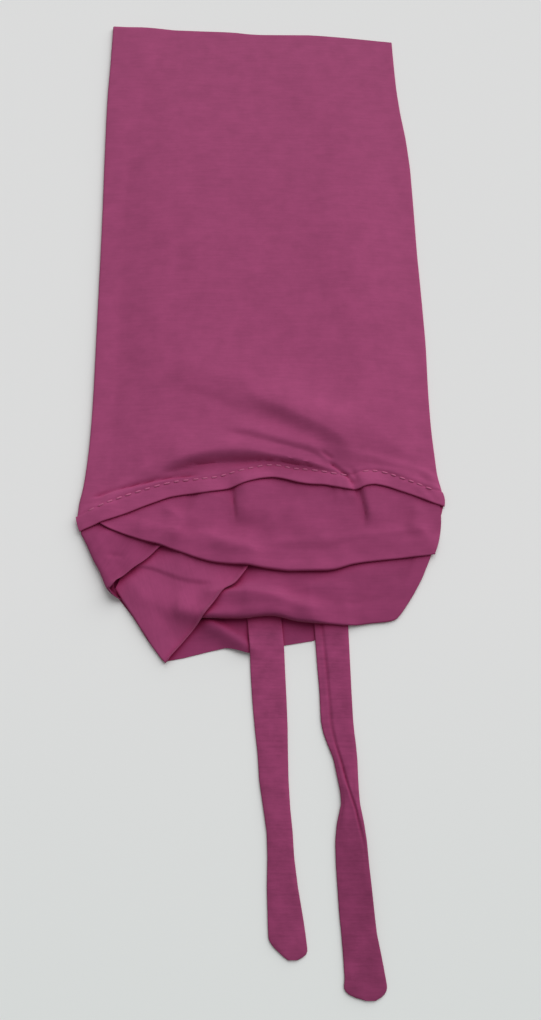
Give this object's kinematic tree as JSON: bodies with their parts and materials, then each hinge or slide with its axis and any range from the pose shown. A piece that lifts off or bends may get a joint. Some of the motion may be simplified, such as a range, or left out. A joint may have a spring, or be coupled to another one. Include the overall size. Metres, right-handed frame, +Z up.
{
  "type": "hijab underscarf cap",
  "caption": "Jersey underscarf cap lying flat: a long closed bag with a hemmed mouth, a folded front and tie strips.",
  "frame": {"origin": "under the middle of the whole cap as it lies, on the table", "axes": "+Z up from the table, +Y from the ties' ends towards the bag's closed end, +X to the right as seen from the ties' side"},
  "size_m": [0.2494, 0.7364, 0.0134],
  "materials": {
    "jersey": "matte"
  },
  "bodies": {
    "root": {"crown_bag": "jersey", "tie_left": "jersey", "tie_right": "jersey", "front_band": "jersey", "corner_fold": "jersey", "side_fold": "jersey", "forehead_panel": "jersey"}
  },
  "joints": []
}
